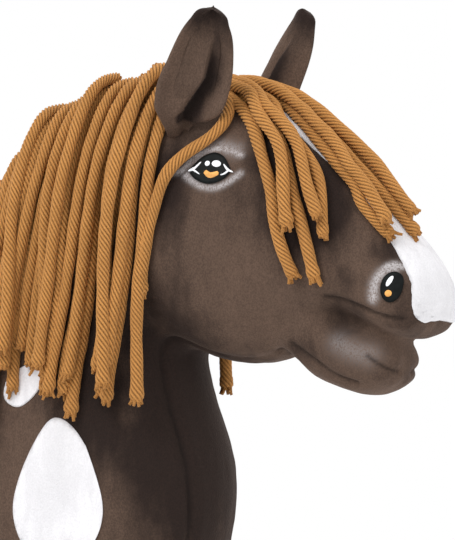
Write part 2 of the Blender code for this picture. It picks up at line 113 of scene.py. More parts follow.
class StageSettings(bpy.types.PropertyGroup):
    """Camera, light and floor."""

    azimuth: bpy.props.FloatProperty(name="Azimuth", description="Camera's turn round the horse", default=30.0)
    distance: length_setting("Distance", "Camera to the stick", 11.0)
    view_height: length_setting("View height", "Height seen by the camera", 0.378)


# ---------------------------------------------------------------- helpers


def object_of(name, mesh):
    """A new object of a mesh, in the scene."""
    made = bpy.data.objects.new(name, mesh)
    bpy.context.scene.collection.objects.link(made)
    return made


def object_from_bmesh(name, bm):
    """A new smooth object from a bmesh."""
    mesh = bpy.data.meshes.new(name)
    bm.to_mesh(mesh)
    bm.free()
    mesh.shade_smooth()
    return object_of(name, mesh)


def apply_modifiers(thing):
    """Keep an object's evaluated mesh and drop its modifiers."""
    graph = bpy.context.evaluated_depsgraph_get()
    made = bpy.data.meshes.new_from_object(thing.evaluated_get(graph), preserve_all_data_layers=True, depsgraph=graph)
    thing.modifiers.clear()
    old = thing.data
    thing.data = made
    bpy.data.meshes.remove(old)
    return thing


def remeshed(thing, size):
    """Give an object an even mesh of one closed skin."""
    grid = thing.modifiers.new("remesh", "REMESH")
    grid.mode = "VOXEL"
    grid.voxel_size = size
    grid.use_smooth_shade = True
    return apply_modifiers(thing)


def subdivided(thing, levels=1):
    """Smooth an object with a subdivision surface and keep the result."""
    fine = thing.modifiers.new("subdivide", "SUBSURF")
    fine.levels = fine.render_levels = levels
    return apply_modifiers(thing)


def positions(mesh):
    """A mesh's points as rows of an array."""
    co = np.empty(len(mesh.vertices) * 3)
    mesh.vertices.foreach_get("co", co)
    return co.reshape(-1, 3)


def normals(mesh):
    """A mesh's point normals as rows of an array."""
    found = np.empty(len(mesh.vertices) * 3)
    mesh.vertex_normals.foreach_get("vector", found)
    return found.reshape(-1, 3)


def set_positions(mesh, co):
    """Move a mesh's points."""
    mesh.vertices.foreach_set("co", np.ascontiguousarray(co, dtype=np.float32).ravel())
    mesh.update()


def set_attribute(mesh, name, values):
    """Store one number at each point."""
    layer = mesh.attributes.get(name) or mesh.attributes.new(name, "FLOAT", "POINT")
    layer.data.foreach_set("value", np.ascontiguousarray(values, dtype=np.float32))


def tree_of(thing):
    """A search tree over an object's mesh."""
    bm = bmesh.new()
    bm.from_mesh(thing.data)
    tree = BVHTree.FromBMesh(bm)
    bm.free()
    return tree


def wave_noise(co, scale, seed):
    """A smooth, repeatable lumpy field between -1 and 1, from a few crossed waves."""
    rng = np.random.default_rng(seed)
    total = np.zeros(len(co))
    for _ in range(6):
        direction = rng.normal(size=3)
        direction /= np.linalg.norm(direction)
        total += np.sin(co @ direction * scale * rng.uniform(0.7, 1.4) + rng.uniform(0, 2 * math.pi))
    return total / 6


def outer_faces(names, core):
    """A bmesh of the faces of some panels that look away from what fills them."""
    core_bm = bmesh.new()
    core_bm.from_mesh(NODES[core].data)
    inside = BVHTree.FromBMesh(core_bm)
    core_bm.free()
    bm = bmesh.new()
    for name in names:
        bm.from_mesh(NODES[name].data)
    bmesh.ops.remove_doubles(bm, verts=bm.verts, dist=1e-5)
    bm.normal_update()
    drop = []
    for face in bm.faces:
        middle = face.calc_center_median()
        nearest = inside.find_nearest(middle)[0]
        if (middle - nearest).normalized().dot(face.normal) < 0.25:
            drop.append(face)
    bmesh.ops.delete(bm, geom=drop, context="FACES")
    return bm


def edge_points(names, core, step=0.001):
    """Points spaced evenly along the edges of some panels."""
    found = []
    for name in names:
        bm = outer_faces((name,), core if name not in JAW_PANELS else "jaw_stuffing")
        for edge in bm.edges:
            if edge.is_boundary:
                a, b = (v.co for v in edge.verts)
                count = max(1, round((a - b).length / step))
                found += [a.lerp(b, k / count) for k in range(count)]
        bm.free()
    tree = KDTree(len(found))
    for k, point in enumerate(found):
        tree.insert(point, k)
    tree.balance()
    return tree


# ---------------------------------------------------------------- materials


def new_material(name):
    """A node material with its shader, and its node and link makers."""
    made = bpy.data.materials.new(name)
    made.use_nodes = True
    tree = made.node_tree
    shader = tree.nodes["Principled BSDF"]
    return made, tree, shader


def node(tree, kind, **values):
    """Add a node, setting its options and its inputs by name."""
    made = tree.nodes.new(kind)
    for key, value in values.items():
        if key in made.inputs:
            made.inputs[key].default_value = value
        elif hasattr(made, key):
            setattr(made, key, value)
        else:
            raise ValueError(f"{kind} has no {key}")
    return made


def object_noise(tree, scale, detail=2.0, stretch=(1, 1, 1), roughness=0.5):
    """A noise in the object's own coordinates."""
    place = node(tree, "ShaderNodeTexCoord")
    shape = node(tree, "ShaderNodeMapping", Scale=stretch)
    noise = node(tree, "ShaderNodeTexNoise", Scale=scale, Detail=detail, Roughness=roughness)
    tree.links.new(place.outputs["Object"], shape.inputs["Vector"])
    tree.links.new(shape.outputs["Vector"], noise.inputs["Vector"])
    return noise


def ramp(tree, source, low, high):
    """Stretch a factor between two values to the whole range."""
    made = node(tree, "ShaderNodeMapRange", interpolation_type="SMOOTHSTEP")
    made.inputs["From Min"].default_value = low
    made.inputs["From Max"].default_value = high
    tree.links.new(source, made.inputs["Value"])
    return made.outputs["Result"]


def mixed(tree, factor, a, b, blend="MIX"):
    """Mix two colours, each a colour or a socket."""
    made = node(tree, "ShaderNodeMix", data_type="RGBA", blend_type=blend)
    for socket, value in ((made.inputs[0], factor), (made.inputs[6], a), (made.inputs[7], b)):
        if isinstance(value, bpy.types.NodeSocket):
            tree.links.new(value, socket)
        elif isinstance(value, (int, float)):
            socket.default_value = value
        else:
            socket.default_value = (*value, 1)
    return made.outputs[2]


def calculated(tree, operation, a, b):
    """One sum on two factors, each a number or a socket."""
    made = node(tree, "ShaderNodeMath", operation=operation, use_clamp=True)
    for socket, value in zip(made.inputs, (a, b)):
        if isinstance(value, bpy.types.NodeSocket):
            tree.links.new(value, socket)
        else:
            socket.default_value = value
    return made.outputs[0]


def bumped(tree, shader, layers):
    """Bump from several height sockets, each with its strength and depth."""
    last = None
    for height, strength, depth in layers:
        bump = node(tree, "ShaderNodeBump", Strength=strength, Distance=depth)
        tree.links.new(height, bump.inputs["Height"])
        if last:
            tree.links.new(last, bump.inputs["Normal"])
        last = bump.outputs["Normal"]
    tree.links.new(last, shader.inputs["Normal"])


def attribute(tree, name):
    """A number stored on the mesh."""
    return node(tree, "ShaderNodeAttribute", attribute_name=name).outputs["Fac"]


def plush_material(name, light, dark, painted=False, contrast=1.0):
    """Short fur fabric: nap brushed both ways, pile grain and a soft sheen; the painted kind adds airbrush paint and
    painted shade from the mesh's marks.
    """
    made, tree, shader = new_material(name)
    nap = object_noise(tree, 15, 4.0, (1.0, 1.0, 0.60), 0.55)
    streak = object_noise(tree, 95, 3.0, (1.0, 1.0, 0.28), 0.6)
    grain = object_noise(tree, 1000, 2.0, (1.0, 1.0, 0.7), 0.7)
    pile = object_noise(tree, 2300, 1.0)
    streaks = ramp(tree, streak.outputs["Fac"], 0.38, 0.62)
    grains = ramp(tree, grain.outputs["Fac"], 0.36, 0.64)
    level = calculated(tree, "MULTIPLY", nap.outputs["Fac"], 0.60)
    level = calculated(tree, "ADD", level, calculated(tree, "MULTIPLY", streak.outputs["Fac"], 0.20))
    # the mesh's nap_and_shade mark darkens the fur: brushed pile, and painted shade under the forelock, by the mane,
    # round the jaw and in the ear hollows
    if painted:
        level = calculated(tree, "ADD", level, calculated(tree, "MULTIPLY", attribute(tree, "nap_and_shade"), 0.34))
    nap_and_shade = ramp(tree, level, 0.36, 0.62)
    colour = mixed(tree, calculated(tree, "MULTIPLY", nap_and_shade, contrast), light, dark)
    streaked = calculated(tree, "MULTIPLY", streaks, calculated(tree, "SUBTRACT", 0.36, nap_and_shade))
    colour = mixed(tree, streaked, colour, tuple(min(1.0, 1.35 * c) for c in light))
    speck = calculated(tree, "MULTIPLY", grains, 0.68 * contrast)
    colour = mixed(tree, speck, colour, mixed(tree, 0.5, colour, tuple(0.1 * c for c in dark)))
    if painted:
        paint = calculated(tree, "MULTIPLY", attribute(tree, "airbrush"), calculated(tree, "ADD", grains, 0.35))
        colour = mixed(tree, paint, colour, (0.66, 0.63, 0.64))
        # painted shade in the seam grooves of the head, and in the ear hollows
        shadow = calculated(tree, "MULTIPLY", attribute(tree, "crease_shade"), 0.70)
        colour = mixed(tree, shadow, colour, tuple(0.3 * c for c in dark))
    tree.links.new(colour, shader.inputs["Base Color"])
    shader.inputs["Roughness"].default_value = 0.88
    shader.inputs["Sheen Weight"].default_value = 0.16
    shader.inputs["Sheen Roughness"].default_value = 0.42
    shader.inputs["Sheen Tint"].default_value = (*(min(1.0, 4 * c + 0.12) for c in light), 1)
    shader.inputs["Specular IOR Level"].default_value = 0.2
    layers = (
        (nap.outputs["Fac"], 0.30, 0.0020),
        (streak.outputs["Fac"], 0.45, 0.0014),
        (grain.outputs["Fac"], 0.60, 0.0009),
        (pile.outputs["Fac"], 0.35, 0.0004),
    )
    bumped(tree, shader, layers)
    return made


def yarn_material(settings):
    """Soft acrylic yarn: a painted highlight on the crest of each ply, painted shade between them, with fibres along
    it.
    """
    made, tree, shader = new_material("twisted_yarn")
    colour = tuple(settings.colour)
    broad = object_noise(tree, 45, 2.0)
    fibre = object_noise(tree, 1800, 2.0, (1.0, 1.0, 0.4))
    # painted shade in the grooves between the plies and a painted highlight on their crests
    ridge = attribute(tree, "ridge")
    base = mixed(tree, ridge, tuple(0.20 * c for c in colour), tuple(min(1.0, 1.15 * c) for c in colour))
    tone = calculated(tree, "MULTIPLY", ramp(tree, broad.outputs["Fac"], 0.35, 0.7), 0.35)
    base = mixed(tree, tone, base, tuple(0.62 * c for c in colour))
    fine = calculated(tree, "MULTIPLY", ramp(tree, fibre.outputs["Fac"], 0.35, 0.65), 0.30)
    base = mixed(tree, fine, base, tuple(min(1.0, 1.5 * c + 0.03) for c in colour))
    tree.links.new(base, shader.inputs["Base Color"])
    shader.inputs["Roughness"].default_value = 0.82
    shader.inputs["Sheen Weight"].default_value = 0.12
    shader.inputs["Sheen Roughness"].default_value = 0.4
    shader.inputs["Sheen Tint"].default_value = (1.0, 0.78, 0.5, 1)
    shader.inputs["Specular IOR Level"].default_value = 0.15
    bumped(tree, shader, ((fibre.outputs["Fac"], 0.8, 0.0007),))
    return made


def paint_material(name, colour, roughness=0.4, spread=0.25):
    """Fabric paint: slightly uneven and a little glossy."""
    made, tree, shader = new_material(name)
    blot = object_noise(tree, 260, 3.0)
    weave = object_noise(tree, 1500, 2.0)
    darker = tuple((1 - spread) * c for c in colour)
    tone = ramp(tree, blot.outputs["Fac"], 0.35, 0.65)
    tree.links.new(mixed(tree, tone, colour, darker), shader.inputs["Base Color"])
    shader.inputs["Roughness"].default_value = roughness
    shader.inputs["Specular IOR Level"].default_value = 0.12
    bumped(tree, shader, ((weave.outputs["Fac"], 0.35, 0.0003), (blot.outputs["Fac"], 0.2, 0.0005)))
    return made


def wood_material():
    """Planed beech: long grain, short flecks and a thin satin varnish."""
    made, tree, shader = new_material("beech_wood")
    grain = object_noise(tree, 70, 5.0, (1.0, 1.0, 0.035), 0.65)
    fleck = object_noise(tree, 420, 2.0, (1.0, 1.0, 0.10))
    tone = ramp(tree, grain.outputs["Fac"], 0.30, 0.70)
    colour = mixed(tree, tone, (0.62, 0.40, 0.21), (0.44, 0.25, 0.11))
    flecks = calculated(tree, "MULTIPLY", ramp(tree, fleck.outputs["Fac"], 0.58, 0.72), 0.5)
    colour = mixed(tree, flecks, colour, (0.28, 0.14, 0.06))
    tree.links.new(colour, shader.inputs["Base Color"])
    shader.inputs["Roughness"].default_value = 0.42
    shader.inputs["Coat Weight"].default_value = 0.15
    bumped(tree, shader, ((grain.outputs["Fac"], 0.25, 0.0006), (fleck.outputs["Fac"], 0.2, 0.0003)))
    return made


def rubber_material():
    """Moulded rubber, dusty from the floor."""
    made, tree, shader = new_material("cap_rubber")
    dust = object_noise(tree, 120, 4.0)
    tone = ramp(tree, dust.outputs["Fac"], 0.45, 0.75)
    tree.links.new(mixed(tree, tone, (0.018, 0.018, 0.018), (0.06, 0.055, 0.05)), shader.inputs["Base Color"])
    shader.inputs["Roughness"].default_value = 0.65
    bumped(tree, shader, ((dust.outputs["Fac"], 0.3, 0.0004),))
    return made


def liner_material():
    """Woven cotton of the sleeve inside the neck."""
    made, tree, shader = new_material("sleeve_cotton")
    weave = object_noise(tree, 1400, 2.0, (1.0, 1.0, 0.5))
    tone = ramp(tree, weave.outputs["Fac"], 0.4, 0.6)
    tree.links.new(mixed(tree, tone, (0.42, 0.37, 0.30), (0.30, 0.26, 0.21)), shader.inputs["Base Color"])
    shader.inputs["Roughness"].default_value = 0.85
    bumped(tree, shader, ((weave.outputs["Fac"], 0.5, 0.0004),))
    return made


def dress(thing, material, body):
    """Give a piece its material and the body it rides."""
    thing.data.materials.clear()
    thing.data.materials.append(material)
    if body:
        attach(thing, body)
    return thing


# ---------------------------------------------------------------- shaping


def joined_solid(name, panels, cores, grow):
    """One closed skin round some panels and what fills them, the filling swollen until it meets the panels."""
    bm = bmesh.new()
    for part in (*panels, *cores):
        piece = bmesh.new()
        piece.from_mesh(NODES[part].data)
        bmesh.ops.remove_doubles(piece, verts=piece.verts, dist=1e-5)
        if part in cores:
            piece.normal_update()
            for vert, normal in [(v, v.normal.copy()) for v in piece.verts]:
                vert.co += normal * grow
        mesh = bpy.data.meshes.new(part)
        piece.to_mesh(mesh)
        piece.free()
        bm.from_mesh(mesh)
        bpy.data.meshes.remove(mesh)
    for (x, z), (long, wide, tall), tilt in BRIDGES:
        shape = Matrix.Translation((x / 1000, 0, z / 1000 + HEM)) @ Matrix.Rotation(math.radians(tilt), 4, "Y")
        shape = shape @ Matrix.Diagonal((long / 1000, wide / 1000, tall / 1000, 1))
        bmesh.ops.create_icosphere(bm, subdivisions=4, radius=1.0, matrix=shape)
    return object_from_bmesh(name, bm)


def relaxed(thing, rounds, factor=0.5):
    """Smooth a mesh evenly."""
    bm = bmesh.new()
    bm.from_mesh(thing.data)
    for _ in range(rounds):
        bmesh.ops.smooth_vert(bm, verts=bm.verts, factor=factor, use_axis_x=True, use_axis_y=True, use_axis_z=True)
    bm.to_mesh(thing.data)
    bm.free()
    thing.data.update()
    return thing


def inflated(thing, pressure, cap):
    """Blow a skin up like cloth round its stuffing, moving no point further than the cap."""
    before = positions(thing.data)
    cloth = thing.modifiers.new("cloth", "CLOTH")
    cloth.settings.quality = 4
    cloth.settings.use_pressure = True
    cloth.settings.uniform_pressure_force = pressure
    cloth.settings.effector_weights.gravity = 0
    cloth.point_cache.frame_start, cloth.point_cache.frame_end = 1, 20
    for step in range(1, 21):
        bpy.context.scene.frame_set(step)
    graph = bpy.context.evaluated_depsgraph_get()
    evaluated = thing.evaluated_get(graph)
    after = positions(evaluated.data)
    thing.modifiers.remove(cloth)
    bpy.context.scene.frame_set(1)
    move = after - before
    length = np.linalg.norm(move, axis=1, keepdims=True)
    set_positions(thing.data, before + move * np.minimum(1.0, cap / np.maximum(length, 1e-9)))
    return thing


def side_hit(tree, x, z, side):
    """Where a line from the side meets the body: the point and its outward normal."""
    point, normal, _, _ = tree.ray_cast(Vector((x, side * 0.3, z)), Vector((0, -side, 0)))
    if point is None:
        return None, None
    return point, (normal if normal.y * side > 0 else -normal)


def head_place(x, z):
    """A place in the side view, from millimetres ahead of the stick and above the hem."""
    return x / 1000, z / 1000 + HEM


def smooth_path(points, count):
    """A smooth open line through a few points, each of any length."""
    values = np.asarray(points, float)
    last = len(values) - 1
    found = []
    for k in range(count):
        at = last * k / (count - 1)
        i = min(int(at), last - 1)
        t = at - i
        p, a, b, n = (values[min(max(j, 0), last)] for j in (i - 1, i, i + 1, i + 2))
        found.append(a + 0.5 * t * (b - p + t * (2 * p - 5 * a + 4 * b - n + t * (3 * (a - b) + n - p))))
    return np.array(found)


def smooth_loop(points, count):
    """A smooth closed outline through a few points."""
    values = [points[k % len(points)] for k in range(-2, len(points) + 3)]
    dense = smooth_path(values, (len(values) - 1) * 12 + 1)
    loop = dense[24 : 24 + len(points) * 12]
    pick = np.linspace(0, len(loop), count, endpoint=False).astype(int)
    return loop[pick]


def stroke_outline(points, widths, count=9):
    """The outline of a brush stroke along a line, with a width at each point."""
    line = smooth_path(points, count)
    wide = smooth_path([(w,) for w in widths], count)[:, 0]
    along = np.gradient(line, axis=0)
    along /= np.maximum(np.linalg.norm(along, axis=1, keepdims=True), 1e-9)
    across = np.stack([-along[:, 1], along[:, 0]], 1)
    one, other = line + across * wide[:, None] / 2, line - across * wide[:, None] / 2
    return np.concatenate([one, other[::-1]])


def laid_on(name, outline, side, tree, lift, thickness=0.0007, rings=5):
    """A thin flat piece laid on the body's side, from its outline in millimetres in the side view."""
    middle = outline.mean(axis=0)
    bm = bmesh.new()
    bmesh.ops.create_circle(bm, cap_ends=True, cap_tris=True, segments=len(outline), radius=1.0)
    spokes = [e for e in bm.edges if not e.is_boundary]
    bmesh.ops.subdivide_edges(bm, edges=spokes, cuts=rings, use_grid_fill=True)
    for vert in bm.verts:
        reach = math.hypot(vert.co.x, vert.co.y)
        turn = (math.atan2(vert.co.y, vert.co.x) / (2 * math.pi)) % 1.0 * len(outline)
        k = int(turn) % len(outline)
        rim = outline[k] + (outline[(k + 1) % len(outline)] - outline[k]) * (turn - int(turn))
        x, z = head_place(*(middle + (rim - middle) * min(reach, 1.0)))
        point, normal = side_hit(tree, x, z, side)
        if point is None:
            raise ValueError(f"{name} doesn't lie on the head")
        vert.co = point + normal * lift
    wanted = Vector((0, side, 0))
    bm.normal_update()
    if sum((f.normal.dot(wanted) for f in bm.faces)) < 0:
        bmesh.ops.reverse_faces(bm, faces=bm.faces)
    made = object_from_bmesh(name, bm)
    wall = made.modifiers.new("thickness", "SOLIDIFY")
    wall.thickness = thickness
    wall.offset = -1
    return apply_modifiers(made)


NOSE_FROM, NOSE_RUN = 0.255, 0.03  # where the blaze's flare starts ahead of the stick, and over what length
NOSE_TOP, NOSE_DROP = 0.214, 0.022  # how high above the hem it starts, and over what height
BLAZE_FLARE = 0.40  # how much wider the blaze gets at its foot
BLAZE_REACH = 0.008  # how far its foot reaches down


def applique(name, panel, core, tree, lift, rim_drop):
    """A fabric panel of the CAD laid tight on the finished body, its rim tucked in."""
    bm = outer_faces((panel,), core)
    cloth = subdivided(object_from_bmesh(name, bm), 2)
    bm = bmesh.new()
    bm.from_mesh(cloth.data)
    rim = {v for e in bm.edges if e.is_boundary for v in e.verts}
    for vert in bm.verts:
        if "blaze" in name:  # it reaches down over the nose, and widens there
            ahead = min(max((vert.co.x - NOSE_FROM) / NOSE_RUN, 0.0), 1.0)
            low = min(max((HEM + NOSE_TOP - vert.co.z) / NOSE_DROP, 0.0), 1.0)
            vert.co.y *= 1 + BLAZE_FLARE * ahead * low
            vert.co.z -= BLAZE_REACH * ahead * low
        point, normal, _, _ = tree.find_nearest(vert.co)
        vert.co = point + normal * (lift - (rim_drop if vert in rim else 0))
    bm.to_mesh(cloth.data)
    bm.free()
    wall = cloth.modifiers.new("thickness", "SOLIDIFY")
    wall.thickness = 0.0016
    wall.offset = -1
    apply_modifiers(cloth)
    cloth.data.shade_smooth()
    return cloth


# Millimetres ahead of the stick and above the hem, in the side view
BRIDGES = (((203, 183), (25, 35, 17), 20), ((188, 176), (22, 33, 14), 10))
MUZZLE_SEAMS = (
    ((217, 205), (226, 203.5), (238, 200), (251, 195), (264, 191), (277, 189.5)),
    ((188, 172), (204, 162), (222, 150), (236, 145)),
    ((247, 164), (258, 155), (268, 148)),
)
EYE = (
    (118.5, 291.5), (122, 297.5), (128, 302.5), (135, 304.5), (142, 302), (146.5, 297), (149, 291.5),
    (144.5, 286), (135, 283), (125, 285.5),
)
AMBER = ((130.2, 291.6), (134.8, 288.6), (141.0, 290.6))
BACK_CORNER = ((117.5, 291.6), (121.5, 293), (126.3, 298))
BACK_LASH = ((121, 292.6), (124, 291), (126.8, 289.4))
FRONT_CORNER = ((143.6, 296.4), (147.2, 292.6), (151.5, 290.8))
FRONT_LASH = ((148, 292), (145.4, 289.8), (142.6, 288.8))
AIRBRUSH = (  # each with its strength and its width
    (((104, 291), (112, 293), (119, 301), (129, 306.5), (140, 307.5), (154, 303)), 0.62, 2.3),
    (((116, 289), (121, 285.5), (129, 281.5), (139, 280.5), (148, 284), (156, 290)), 0.55, 2.3),
    (((122, 300), (134, 309), (150, 306)), 0.28, 5.0),
    (((256.5, 204), (257.5, 214), (262.5, 222), (269, 224.5)), 0.60, 3.6),
    (((263, 225), (268, 227), (273, 225.5)), 0.65, 2.2),
    (((226, 173), (236, 168), (247, 165)), 0.17, 7.5),
)
# Where the fur is darker, with centre, reach along and up, and strength: pile brushed the other way, and painted shade
# under the forelock, behind the eye, by the mane and round the jaw and nostril
NAP_AND_SHADE = (
    ((104, 90), (46, 95), 0.95), ((46, 120), (40, 60), 0.55), ((203, 268), (34, 40), 0.80),
    ((236, 218), (14, 12), 0.35), ((231, 192), (18, 13), 0.50), ((99, 285), (16, 40), 0.75),
    ((176, 305), (16, 30), 0.5), ((262, 236), (16, 12), 0.5),
    ((190, 168), (16, 8), 0.30), ((244, 150), (16, 8), 0.25),
)
STATE = {}


class HOBBY_OT_body(bpy.types.Operator):
    """Sew and stuff the head: one plump fur skin with its seams drawn in"""

    bl_idname = "hobby_horse.body"
    bl_label = "Stuffed head"

    def execute(self, context):
        fabric = context.scene.plush
        core = joined_solid("plush_head", (*BODY_PANELS, *JAW_PANELS), ("stuffing", "jaw_stuffing"), 0.0036)
        relaxed(remeshed(core, fabric.voxel), 4)
        inflated(core, 4.0, fabric.puff)
        relaxed(core, 2)
        pocket = bmesh.new()
        low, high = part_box("stick_sleeve")
        radius = (high.x - low.x) / 2 + 0.0004
        depth = high.z - low.z + 0.04
        bmesh.ops.create_cone(pocket, cap_ends=True, segments=48, radius1=radius, radius2=radius, depth=depth)
        bmesh.ops.translate(pocket, verts=pocket.verts, vec=(0, 0, high.z + 0.002 - depth / 2))
        cutter = object_from_bmesh("pocket", pocket)
        hole = core.modifiers.new("pocket", "BOOLEAN")
        hole.operation = "DIFFERENCE"
        hole.solver = "EXACT"
        hole.object = cutter
        apply_modifiers(core)
        bpy.data.objects.remove(cutter)
        subdivided(core)
        self.draw_seams(core, fabric)
        core.data.shade_smooth()
        dress(core, plush_material("brown_fur", fabric.brown, fabric.dark, painted=True), None)
        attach(core, "head")
        hidden = ("stuffing", "jaw_stuffing", *BODY_PANELS, *JAW_PANELS)
        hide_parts(*(n for n in hidden if n != "blaze_panel"))
        STATE["tree"] = tree_of(core)
        return {"FINISHED"}

    def draw_seams(self, core, fabric):
        """Pull the skin in along its seams and note three marks: where it is airbrushed, where it is darker from
        brushed pile and painted shade, and the painted shade in its seams.
        """
        co, out = positions(core.data), normals(core.data)
        seams = edge_points(SEAMED, "stuffing")
        rough = tree_of(core)
        extra = []
        for line in MUZZLE_SEAMS:
            for x, z in smooth_path(line, 60):
                for _, side in SIDES:
                    point, _ = side_hit(rough, *head_place(x, z), side)
                    if point:
                        extra.append(point)
        more = KDTree(len(extra))
        for k, point in enumerate(extra):
            more.insert(point, k)
        more.balance()
        far = np.array([min(seams.find(p)[2], more.find(p)[2]) for p in co])
        pucker = wave_noise(co, 520, 3)
        lump = wave_noise(co, 75, 5)
        width = fabric.seam_width
        groove = np.exp(-((far / width) ** 2))
        beside = np.exp(-(((far - 3.2 * width) / (2.0 * width)) ** 2))
        move = -fabric.seam_depth * groove * (1 + 0.5 * pucker) + 0.0007 * beside * (1 + 0.8 * pucker)
        move += 0.0011 * lump
        set_positions(core.data, co + out * move[:, None])
        # painted shade along the seam grooves
        set_attribute(core.data, "crease_shade", np.exp(-((far / 0.0016) ** 2)))
        brush = np.zeros(len(co))
        side_view = np.stack([co[:, 0] * 1000, (co[:, 2] - HEM) * 1000], 1)
        facing = np.clip((np.abs(co[:, 1]) - 0.012) / 0.010, 0, 1)
        for line, strength, wide in AIRBRUSH:
            path = smooth_path(line, 24)
            near = np.min(np.linalg.norm(side_view[:, None, :] - path[None], axis=2), axis=1)
            brush = np.maximum(brush, strength * np.exp(-((near / wide) ** 2)))
        set_attribute(core.data, "airbrush", brush * facing)
        # darker fur: pile brushed the other way, and painted shade under the forelock, by the mane and round the jaw
        dark = np.zeros(len(co))
        for centre, reach, strength in NAP_AND_SHADE:
            away = np.linalg.norm((side_view - centre) / reach, axis=1)
            dark = np.maximum(dark, strength * np.exp(-(away**2)))
        set_attribute(core.data, "nap_and_shade", dark)


class HOBBY_OT_markings(bpy.types.Operator):
    """Sew the white blaze and the spots on"""

    bl_idname = "hobby_horse.markings"
    bl_label = "White markings"

    def execute(self, context):
        fabric = context.scene.plush
        white = tuple(fabric.white)
        material = plush_material("white_fur", white, tuple(0.62 * c for c in white), contrast=0.22)
        for panel in ("blaze_panel", *(f"{w}_{s}_spot" for w, _ in SIDES for s in ("large", "small"))):
            name = panel.replace("_panel", "_fur") if "blaze" in panel else panel + "_fur"
            piece = applique(name, panel, "stuffing", STATE["tree"], 0.0013, 0.0010)
            dress(piece, material, "head")
            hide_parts(panel)
        return {"FINISHED"}


class HOBBY_OT_face(bpy.types.Operator):
    """Paint the eyes and nostrils"""

    bl_idname = "hobby_horse.face"
    bl_label = "Eyes and nostrils"

    def execute(self, context):
        tree = STATE["tree"]
        black = paint_material("black_paint", (0.0045, 0.0060, 0.0058), 0.55, 0.5)
        white = paint_material("white_paint", (0.86, 0.87, 0.90), 0.5, 0.12)
        amber = paint_material("amber_paint", (0.86, 0.42, 0.12), 0.5, 0.3)
        turn = np.linspace(0, 2 * math.pi, 32, endpoint=False)

        def oval(centre, width, height, tilt):
            lean = math.radians(tilt)
            a, b = width / 2 * np.cos(turn), height / 2 * np.sin(turn)
            return np.stack([centre[0] + a * math.cos(lean) - b * math.sin(lean),
                             centre[1] + a * math.sin(lean) + b * math.cos(lean)], 1)

        for word, side in SIDES:
            eye = laid_on(f"{word}_eye_black", smooth_loop(EYE, 48), side, tree, 0.0011)
            glints = [
                laid_on(f"{word}_eye_{part}", outline, side, tree, lift)
                for part, outline, lift in (
                    ("amber", stroke_outline(AMBER, (2.6, 4.0, 2.6)), 0.0014),
                    ("glint_small", oval((131.3, 296.8), 3.6, 3.4, 0), 0.0017),
                    ("glint_large", oval((138.2, 296.6), 7.0, 4.3, -8), 0.0017),
                    ("back_corner", stroke_outline(BACK_CORNER, (0.5, 1.5, 0.7)), 0.0015),
                    ("back_lash", stroke_outline(BACK_LASH, (1.2, 1.0, 0.5)), 0.0017),
                    ("front_corner", stroke_outline(FRONT_CORNER, (0.7, 1.5, 0.5)), 0.0015),
                    ("front_lash", stroke_outline(FRONT_LASH, (1.3, 1.0, 0.5)), 0.0017),
                )
            ]
            dress(eye, black, "head")
            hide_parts(f"{word}_eye")
            for piece in glints:
                dress(piece, amber if "amber" in piece.name else white, "head")
            nostril = laid_on(f"{word}_nostril_black", oval((269.5, 211.5), 15, 21, -4), side, tree, 0.0011)
            dress(nostril, black, "head")
            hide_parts(f"{word}_nostril")
            shine = laid_on(f"{word}_nostril_glint", oval((268.1, 215.5), 3.2, 7.6, -26), side, tree, 0.0014)
            dress(shine, white, "head")
            dot = laid_on(f"{word}_nostril_amber", oval((267.9, 207.2), 4.8, 4.6, 20), side, tree, 0.0014)
            dress(dot, amber, "head")
        return {"FINISHED"}


